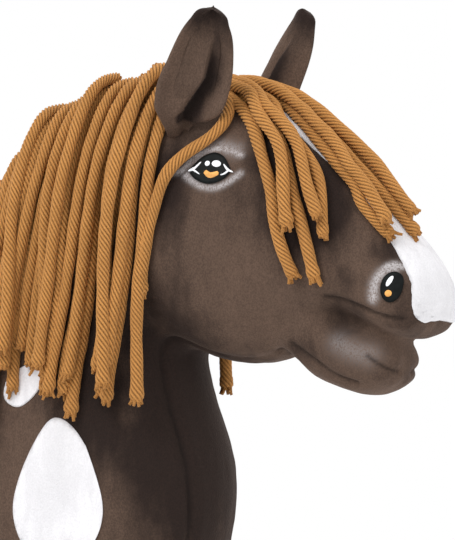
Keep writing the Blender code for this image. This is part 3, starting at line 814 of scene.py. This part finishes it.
class HOBBY_OT_ears(bpy.types.Operator):
    """Sew the ears: soft shells with a lining darkened by painted shade"""

    bl_idname = "hobby_horse.ears"
    bl_label = "Ears"

    def execute(self, context):
        fabric = context.scene.plush
        shell_fur = plush_material("ear_fur", fabric.brown, fabric.dark, painted=True)
        # the lining's brown is darker than the shell's: painted shade inside the ear
        inner_fur = plush_material("ear_lining_fur", tuple(0.85 * c for c in fabric.brown), fabric.dark, painted=True)
        tree = STATE["tree"]
        for word, side in SIDES:
            body = f"{word}_ear"
            root = Vector((0.109, side * 0.040, HEM + 0.325))
            up = Vector((0.37, side * 0.23, 0.90)).normalized()
            shell = self.soft_copy(f"{word}_ear_shell", body, 2)
            co = self.folded(positions(shell.data), root, up, side)
            set_positions(shell.data, co)
            co = positions(shell.data)
            for k, point in enumerate(co):
                rise = (Vector(point) - root).dot(up)
                sunk = min(max((0.012 - rise) / 0.014, 0.0), 1.0)
                if sunk > 0:
                    near, normal, _, _ = tree.find_nearest(Vector(point))
                    co[k] = Vector(point).lerp(near - normal * 0.003, sunk * sunk * (3 - 2 * sunk))
            set_positions(shell.data, co + normals(shell.data) * (0.0009 * wave_noise(co, 160, 7 + side))[:, None])
            self.shade(shell, root, up, side)
            dress(shell, shell_fur, None)
            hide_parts(body)
            lining = self.soft_copy(f"{word}_ear_inside", f"{word}_ear_lining", 2)
            co = positions(lining.data)
            rise, out = self.local(co, root, up, side)
            rim = np.clip(np.abs(out) / 0.0165, 0, 1) ** 3 + np.clip((rise - 0.055) / 0.022, 0, 1) ** 2
            rim = np.clip(rim + np.clip((0.034 - rise) / 0.012, 0, 1), 0, 1)
            back = np.array(self.opening(side))
            co = co - back * (0.0020 + 0.0030 * rim)[:, None]
            set_positions(lining.data, self.folded(co, root, up, side))
            self.shade(lining, root, up, side)
            dress(lining, inner_fur, None)
            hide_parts(f"{word}_ear_lining")
            for piece in (shell, lining):
                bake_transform(piece)
        return {"FINISHED"}

    def opening(self, side):
        """The way an ear opens."""
        return Vector((0.39, side * 0.841, -0.375)).normalized()

    def local(self, co, root, up, side):
        """How far points lie up an ear, and across it towards the face."""
        across = self.opening(side).cross(up).normalized() * side
        away = co - np.array(root)
        return away @ np.array(up), away @ np.array(across)

    def fold(self, rise, out):
        """How far up an ear a point is (0 to 1) and how far it lies in front of the rolled edge."""
        t = np.clip(rise / 0.095, 0, 1)
        return t, out - (FOLD_FOOT + FOLD_LEAN * np.clip(t / 0.42, 0, 1))

    def folded(self, co, root, up, side):
        """Roll the ear's back half forward over its hollow, and round its tip."""
        t, ahead = self.fold(*self.local(co, root, up, side))
        along = np.clip(t / 0.10, 0, 1) * np.clip((0.74 - t) / 0.30, 0, 1)
        roll = np.clip((0.0012 - ahead) / 0.0024, 0, 1) * np.exp(-((np.minimum(ahead, 0) / 0.013) ** 2)) * along
        hollow = np.clip((ahead + 0.0012) / 0.0024, 0, 1) * np.exp(-((np.maximum(ahead, 0) / 0.011) ** 2)) * along
        forward = np.array(self.opening(side))
        across = np.cross(forward, np.array(up)) * side
        _, out = self.local(co, root, up, side)
        blunt = np.clip((t - 0.84) / 0.16, 0, 1) ** 2
        co = co + across * (1.3 * out * blunt)[:, None] - np.array(up) * (0.0035 * blunt)[:, None]
        foot = np.clip((0.50 - t) / 0.50, 0, 1) * np.clip(-out / 0.014, 0, 1)
        co = co - across * (0.0070 * foot)[:, None] - np.array(up) * (0.0075 * foot * (1 - t))[:, None]
        return co + forward * (0.0060 * roll - 0.0042 * hollow)[:, None]

    def shade(self, piece, root, up, side):
        """Note painted shade deep in the hollow behind the fold, and a darker tip."""
        co = positions(piece.data)
        t, ahead = self.fold(*self.local(co, root, up, side))
        sharp = np.clip((ahead + 0.0006) / 0.0016, 0, 1)
        deep = sharp * np.exp(-((ahead / 0.0105) ** 2)) * np.clip((0.80 - t) / 0.45, 0, 1) * np.clip(t / 0.05, 0, 1)
        tip = 0.6 * np.clip((t - 0.66) / 0.25, 0, 1)
        # painted shade in the hollow behind the fold, both as darker fur and as crease shade
        set_attribute(piece.data, "nap_and_shade", np.clip(1.2 * deep + tip, 0, 1.2))
        set_attribute(piece.data, "airbrush", np.zeros(len(co)))
        set_attribute(piece.data, "crease_shade", np.clip(deep - 0.35, 0, 1) * 1.3)

    def soft_copy(self, name, panel, levels):
        """A merged, rounded copy of a CAD piece."""
        bm = bmesh.new()
        bm.from_mesh(NODES[panel].data)
        bmesh.ops.remove_doubles(bm, verts=bm.verts, dist=1e-5)
        bmesh.ops.join_triangles(bm, faces=bm.faces, angle_face_threshold=0.6, angle_shape_threshold=0.9)
        return subdivided(object_from_bmesh(name, bm), levels)


FOLD_FOOT = -0.008  # where the ear's fold starts at its foot, across from the middle towards the face
FOLD_LEAN = 0.013  # how far the fold leans towards the face higher up


# ---------------------------------------------------------------- yarn

LOBES = 8
RING = 24  # points round a strand


class Yarn:
    """Twisted strands of one piece, gathered and then made a mesh."""

    def __init__(self, name, settings, seed):
        self.name, self.settings = name, settings
        self.rng = np.random.default_rng(seed)
        self.curve = bpy.data.curves.new(name, "CURVE")
        self.curve.dimensions = "3D"
        self.curve.twist_mode = "MINIMUM"
        self.curve.use_fill_caps = True

    def strand(self, path, frayed=True):
        """One strand along an evenly stepped path."""
        radius = self.settings.radius * self.rng.uniform(0.94, 1.06)
        step = np.linalg.norm(np.diff(path, axis=0), axis=1).mean()
        total = step * (len(path) - 1)
        phase = self.rng.uniform(0, 2 * math.pi)
        spline = self.curve.splines.new("POLY")
        spline.points.add(len(path) - 1)
        swell = self.rng.uniform(1.05, 1.22)
        for k, (point, place) in enumerate(zip(spline.points, path)):
            gone = k * step
            left = total - gone
            size = 1.0 + 0.045 * math.sin(gone * 95 + phase) + 0.03 * math.sin(gone * 230 + 2 * phase)
            if frayed and left < 0.010:
                size *= 1 + (swell - 1) * math.sin(math.pi * min(1.0, (0.010 - left) / 0.009))
            if left < 0.0016:
                size *= 0.80
            point.co = (*place, 1)
            point.radius = radius * size
            point.tilt = -2 * math.pi * gone / self.settings.lay + phase + 0.5 * math.sin(gone * 31 + phase)
        if frayed:
            self.fray(path, radius)

    def fray(self, path, radius):
        """Loose ply ends beyond a cut end."""
        end = Vector(path[-1])
        ahead = (end - Vector(path[-6])).normalized()
        side = ahead.orthogonal().normalized()
        other = ahead.cross(side)
        count = int(self.rng.integers(5, 8))
        for k in range(count):
            turn = 2 * math.pi * (k + self.rng.uniform(-0.3, 0.3)) / count
            out = side * math.cos(turn) + other * math.sin(turn)
            reach = self.rng.uniform(0.0004, 0.0034) + (0.003 if self.rng.random() < 0.12 else 0)
            spread = self.rng.uniform(0.05, 0.5)
            spline = self.curve.splines.new("POLY")
            spline.points.add(4)
            for j, point in enumerate(spline.points):
                t = j / 4
                place = end - ahead * 0.003 + out * radius * 0.60 + (ahead + out * spread * t) * (reach * t + 0.003 * t)
                point.co = (*place, 1)
                point.radius = radius * 0.36 * (1 - 0.35 * t)
                point.tilt = 2.5 * t

    def mesh(self, profile):
        """The strands as one mesh, with the height of each ply's ridge noted."""
        self.curve.bevel_mode = "OBJECT"
        self.curve.bevel_object = profile
        carrier = object_of(self.name, self.curve)
        graph = bpy.context.evaluated_depsgraph_get()
        made = bpy.data.meshes.new_from_object(carrier.evaluated_get(graph), depsgraph=graph)
        bpy.data.objects.remove(carrier)
        bpy.data.curves.remove(self.curve)
        rings = positions(made).reshape(-1, RING, 3)
        reach = np.linalg.norm(rings - rings.mean(axis=1, keepdims=True), axis=2)
        ridge = np.clip((reach / reach.max(axis=1, keepdims=True) - 0.77) / 0.20, 0, 1)
        made.name = self.name
        set_attribute(made, "ridge", ridge.ravel())
        bm = bmesh.new()
        bm.from_mesh(made)
        bmesh.ops.recalc_face_normals(bm, faces=bm.faces)
        bm.to_mesh(made)
        bm.free()
        made.shade_smooth()
        return object_of(self.name, made)


def ply_profile():
    """The section of a strand: round plies side by side."""
    curve = bpy.data.curves.new("ply_profile", "CURVE")
    curve.dimensions = "2D"
    spline = curve.splines.new("POLY")
    spline.points.add(RING - 1)
    for k, point in enumerate(spline.points):
        reach = 0.76 if k % (RING // LOBES) == 0 else 1.0
        turn = 2 * math.pi * k / RING
        point.co = (reach * math.cos(turn), reach * math.sin(turn), 0, 1)
    spline.use_cyclic_u = True
    return object_of("ply_profile", curve)


def evenly(points, step):
    """The same line with points at even steps."""
    points = np.asarray(points, float)
    run = np.concatenate([[0], np.cumsum(np.linalg.norm(np.diff(points, axis=0), axis=1))])
    count = max(8, round(run[-1] / step))
    at = np.linspace(0, run[-1], count + 1)
    return np.stack([np.interp(at, run, points[:, k]) for k in range(3)], 1)


def eased(points, rounds):
    """A line with its kinks smoothed out, its ends kept."""
    points = np.array(points, float)
    for _ in range(rounds):
        points[1:-1] = 0.25 * points[:-2] + 0.5 * points[1:-1] + 0.25 * points[2:]
    return points


def crest_line():
    """The crest, from behind the poll down the back of the neck, under the mane's roll."""
    co = positions(NODES["mane_roll"].data)
    turn = np.arctan2(co[:, 2] - (HEM + 0.150), co[:, 0] - 0.055)
    turn = np.where(turn < -math.pi / 2, turn + 2 * math.pi, turn)
    marks = np.linspace(turn.min(), turn.max(), 26)
    line = []
    for a, b in zip(marks[:-1], marks[1:]):
        near = co[(turn >= a) & (turn <= b)]
        if len(near):
            line.append(((near[:, 0].min() + near[:, 0].max()) / 2, 0.0, (near[:, 2].min() + near[:, 2].max()) / 2))
    return evenly(eased(line, 2), 0.001)


STEP = 0.0014
END_AT = (-90, -64, -41, -19, 4, 26, 49, 71, 95)
END_HEIGHT = (34, 52, 90, 146, 158, 143, 132, 134, 138)


def falling(root, side, layer, rng, tree, settings):
    """The path of one strand that starts over the crest and falls down one side of the neck."""
    radius = settings.radius
    lift = radius * (1.0 + 1.65 * layer) + rng.uniform(0.0003, 0.0022)
    x0, z0 = root[0], root[2]
    lean = 0.092 + rng.uniform(-0.060, 0.060)
    sway, phase, pace = rng.uniform(0.0006, 0.0034), rng.uniform(0, 6.3), rng.uniform(24, 52)
    end = HEM + np.interp(x0 * 1000, END_AT, END_HEIGHT) / 1000 + rng.uniform(-0.012, 0.012) + 0.006 * layer
    points = []
    widest = 0.0
    z = z0 + 0.006
    while z > end:
        fall = z0 - z
        x = x0 - lean * max(fall, 0) + sway * (math.sin(fall * pace + phase) - math.sin(phase))
        hit, normal = side_hit(tree, x, z, side)
        if hit is not None:
            reach = abs(hit.y) + lift * (0.35 + 0.65 * abs(normal.y))
            widest = max(widest, reach)
            height = z + lift * max(normal.z, 0)
            points.append((x, side * widest, height))
        z -= 0.0007 if fall < 0.02 else 0.002
    if len(points) < 8:
        return None
    start = (x0, -side * 0.002, points[0][2] + 0.0015)
    return evenly(eased(evenly([start, *points], 0.002), 5), STEP)


class HOBBY_OT_mane(bpy.types.Operator):
    """Sew the mane on: rows of twisted yarn that fall to both sides of the neck"""

    bl_idname = "hobby_horse.mane"
    bl_label = "Mane"

    def execute(self, context):
        settings = context.scene.yarn
        tree = STATE["tree"]
        profile = ply_profile()
        material = STATE["yarn"] = yarn_material(settings)
        crest = crest_line()
        locks = 7
        for word, side in SIDES:
            rng = np.random.default_rng(40 + side)
            groups = [Yarn(f"{word}_mane_yarn_{k + 1}", settings, 100 * side + 200 + k) for k in range(locks)]
            counts = [0] * locks
            for layer in (0, 1, 2):
                spacing = settings.spacing * (1.0, 1.7, 5.3)[layer]
                at = spacing * (0.5 if side > 0 else 0.25) + layer * 0.004
                while at < 0.001 * (len(crest) - 1):
                    root = crest[min(len(crest) - 1, round((at + rng.uniform(-0.001, 0.001)) / 0.001))]
                    path = falling(root, side, layer, rng, tree, settings)
                    if path is not None:
                        k = min(locks - 1, max(0, int((0.082 - root[0]) / 0.0225)))
                        groups[k].strand(path)
                        counts[k] += 1
                    at += spacing
            print(f"{word} mane: {counts} strands")
            for k, group in enumerate(groups):
                piece = group.mesh(profile)
                dress(piece, material, None)
                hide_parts(f"{word}_mane_lock_{k + 1}")
                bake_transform(piece)
        band = Yarn("mane_knots", settings, 9)
        for k, out in enumerate((-0.0045, 0.0045)):
            line = crest.copy()
            turn = np.arange(len(line)) * 0.55 + k * math.pi
            line[:, 1] += out + 0.0012 * np.sin(turn)
            line[:, 2] -= 0.003
            band.strand(evenly(line, STEP), frayed=False)
        knots = band.mesh(profile)
        dress(knots, material, "head")
        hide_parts("mane_roll")
        STATE["profile"] = profile
        return {"FINISHED"}


# Forelock routes: millimetres ahead of the stick, to the left and above the hem; the last number is the layer
FORELOCK = (
    (((127, -9, 350), (135, -24, 342), (138, -37, 328), (130, -47, 315),
      (115, -54, 304), (102, -57, 287), (92, -60, 252), (83, -60, 205)), 0),
    (((126, -16, 348), (142, -27, 339), (163, -38, 322), (177, -47, 287), (187, -47, 252), (199, -43, 219)), 0),
    (((127, -9, 349), (147, -17, 345), (166, -30, 328), (187, -38, 301), (201, -44, 262), (214, -40, 217)), 0),
    (((129, -3, 350), (151, -6, 347), (171, -20, 331), (194, -30, 311), (212, -36, 280), (219, -34, 244)), 0),
    (((130, 2, 350), (155, 4, 347), (182, -8, 330), (212, -18, 297), (234, -22, 269), (261, -22, 245)), 0),
    (((130, 8, 350), (157, 14, 345), (188, 4, 326), (220, -5, 303), (249, -5, 273), (273, -3, 250)), 0),
    (((130, 14, 349), (156, 23, 340), (186, 16, 328), (218, 14, 300), (240, 10, 278), (256, 8, 262)), 0),
    (((128, 20, 347), (151, 32, 333), (170, 36, 322), (196, 42, 290), (212, 44, 250)), 0),
    (((127, 25, 345), (144, 41, 323), (154, 50, 305), (166, 54, 275), (174, 54, 235)), 0),
    (((124, -4, 350), (146, -14, 346), (168, -25, 331), (190, -33, 309), (207, -38, 280), (213, -37, 256)), 1),
    (((125, 4, 350), (160, -2, 342), (192, -12, 319), (222, -19, 292), (243, -22, 268), (255, -26, 250)), 1),
    (((125, 10, 350), (158, 9, 341), (190, 6, 321), (222, 2, 294), (246, -1, 270), (259, -3, 256)), 1),
    (((124, 18, 348), (150, 28, 336), (172, 32, 318), (196, 34, 288), (206, 36, 262)), 1),
    (((124, -13, 349), (144, -20, 344), (160, -30, 333), (178, -38, 311), (190, -43, 280), (197, -45, 252)), 1),
)


class HOBBY_OT_forelock(bpy.types.Operator):
    """Sew the forelock on: loose strands that fall over the forehead from between the ears"""

    bl_idname = "hobby_horse.forelock"
    bl_label = "Forelock"

    def execute(self, context):
        settings = context.scene.yarn
        tree = STATE["tree"]
        extras = {3: (13,), 4: (9,), 5: (10,), 6: (11,), 8: (12,)}
        for number in range(1, 10):
            yarn = Yarn(f"forelock_yarn_{number}", settings, 300 + number)
            for k in (number - 1, *extras.get(number, ())):
                route, layer = FORELOCK[k]
                lift = settings.radius * (1.0 + 1.8 * layer) + 0.0008
                points = []
                phase, swing = yarn.rng.uniform(0, 6.3), yarn.rng.uniform(0.8, 2.0)
                for step, (x, y, z) in enumerate(smooth_path(route, 90)):
                    sway = swing * math.sin(step * 0.16 + phase) * min(1.0, step / 30)
                    place = Vector(((x + 0.6 * sway) / 1000, (y + 0.8 * sway) / 1000, z / 1000 + HEM))
                    near, normal, _, _ = tree.find_nearest(place)
                    points.append(near + normal * lift)
                yarn.strand(evenly(eased(evenly(points, 0.002), 6), STEP))
            piece = yarn.mesh(STATE["profile"])
            dress(piece, STATE["yarn"], "head" if number == 1 else "forelock")
            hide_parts(f"forelock_strand_{number}")
        bpy.data.objects.remove(STATE.pop("profile"))
        return {"FINISHED"}


class HOBBY_OT_stick(bpy.types.Operator):
    """Finish the stick, its cap and the sleeve in the neck"""

    bl_idname = "hobby_horse.stick"
    bl_label = "Stick, cap and sleeve"

    def execute(self, context):
        for name, material in (
            ("stick", wood_material()),
            ("stick_end_cap", rubber_material()),
            ("stick_sleeve", liner_material()),
        ):
            for slot in NODES[name].material_slots:
                slot.material = material
        return {"FINISHED"}


class HOBBY_OT_stage(bpy.types.Operator):
    """Set the floor, the soft light and the camera"""

    bl_idname = "hobby_horse.stage"
    bl_label = "Floor, light and camera"

    def execute(self, context):
        scene = context.scene
        stage = scene.stage
        bm = bmesh.new()
        bmesh.ops.create_grid(bm, x_segments=2, y_segments=2, size=6.0)
        bmesh.ops.translate(bm, verts=bm.verts, vec=(0, 0, -0.0002))
        floor = object_from_bmesh("floor", bm)
        made, tree, shader = new_material("pale_floor")
        tone = ramp(tree, object_noise(tree, 1.5, 2.0).outputs["Fac"], 0.3, 0.7)
        tree.links.new(mixed(tree, tone, (0.97, 0.97, 0.97), (0.95, 0.95, 0.95)), shader.inputs["Base Color"])
        shader.inputs["Roughness"].default_value = 0.9
        floor.data.materials.append(made)
        world = bpy.data.worlds.new("white_room")
        scene.world = world
        world.use_nodes = True
        world.node_tree.nodes["Background"].inputs["Color"].default_value = (1, 1, 1, 1)
        world.node_tree.nodes["Background"].inputs["Strength"].default_value = 1.0
        turn = math.radians(stage.azimuth)
        focus = Vector((0.0888, 0.0513, 0.690))
        back = Vector((math.sin(turn), -math.cos(turn), 0))
        aside = Vector((math.cos(turn), math.sin(turn), 0))
        lens = bpy.data.cameras.new("camera")
        lens.sensor_width = 36
        lens.lens = 36 * stage.distance / stage.view_height
        lens.clip_end = 200
        camera = bpy.data.objects.new("camera", lens)
        camera.location = focus + back * stage.distance
        camera.rotation_euler = (-back).to_track_quat("-Z", "Y").to_euler()
        scene.collection.objects.link(camera)
        scene.camera = camera
        for name, place, size, power in (
            ("key_light", focus + back * 1.1 - aside * 0.9 + Vector((0, 0, 1.3)), 0.9, 17),
            ("fill_light", focus + back * 1.2 + aside * 1.2 + Vector((0, 0, 0.3)), 1.4, 5),
            ("rim_light", focus - back * 1.0 + aside * 0.3 + Vector((0, 0, 1.4)), 1.0, 7),
        ):
            light = bpy.data.lights.new(name, "AREA")
            light.shape = "DISK"
            light.size = size
            light.energy = power
            lamp = bpy.data.objects.new(name, light)
            lamp.location = place
            lamp.rotation_euler = (focus - place).to_track_quat("-Z", "Y").to_euler()
            scene.collection.objects.link(lamp)
        scene.view_settings.view_transform = "Standard"
        return {"FINISHED"}


class HOBBY_PT_panel(bpy.types.Panel):
    """Everything the hobby horse is made of"""

    bl_idname = "HOBBY_PT_panel"
    bl_label = "Hobby Horse"
    bl_space_type = "VIEW_3D"
    bl_region_type = "UI"
    bl_category = "Hobby Horse"

    def draw(self, context):
        layout = self.layout
        for group in (context.scene.plush, context.scene.yarn, context.scene.stage):
            box = layout.box()
            for name in group.bl_rna.properties.keys():
                if name not in ("rna_type", "name"):
                    box.prop(group, name)
        for step in STEPS:
            layout.operator(step.bl_idname)


SETTINGS = (("plush", PlushSettings), ("yarn", YarnSettings), ("stage", StageSettings))
STEPS = (
    HOBBY_OT_stage,
    HOBBY_OT_stick,
    HOBBY_OT_body,
    HOBBY_OT_markings,
    HOBBY_OT_face,
    HOBBY_OT_ears,
    HOBBY_OT_mane,
    HOBBY_OT_forelock,
)


def register():
    for name, group in SETTINGS:
        bpy.utils.register_class(group)
        setattr(bpy.types.Scene, name, bpy.props.PointerProperty(type=group))
    for kind in (*STEPS, HOBBY_PT_panel):
        bpy.utils.register_class(kind)


def unregister():
    for kind in reversed((*STEPS, HOBBY_PT_panel)):
        bpy.utils.unregister_class(kind)
    for name, group in reversed(SETTINGS):
        delattr(bpy.types.Scene, name)
        bpy.utils.unregister_class(group)


def main():
    """Make every piece in order."""
    register()
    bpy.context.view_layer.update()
    for step in STEPS:
        group, action = step.bl_idname.split(".")
        getattr(getattr(bpy.ops, group), action)()


if __name__ == "__main__":
    main()
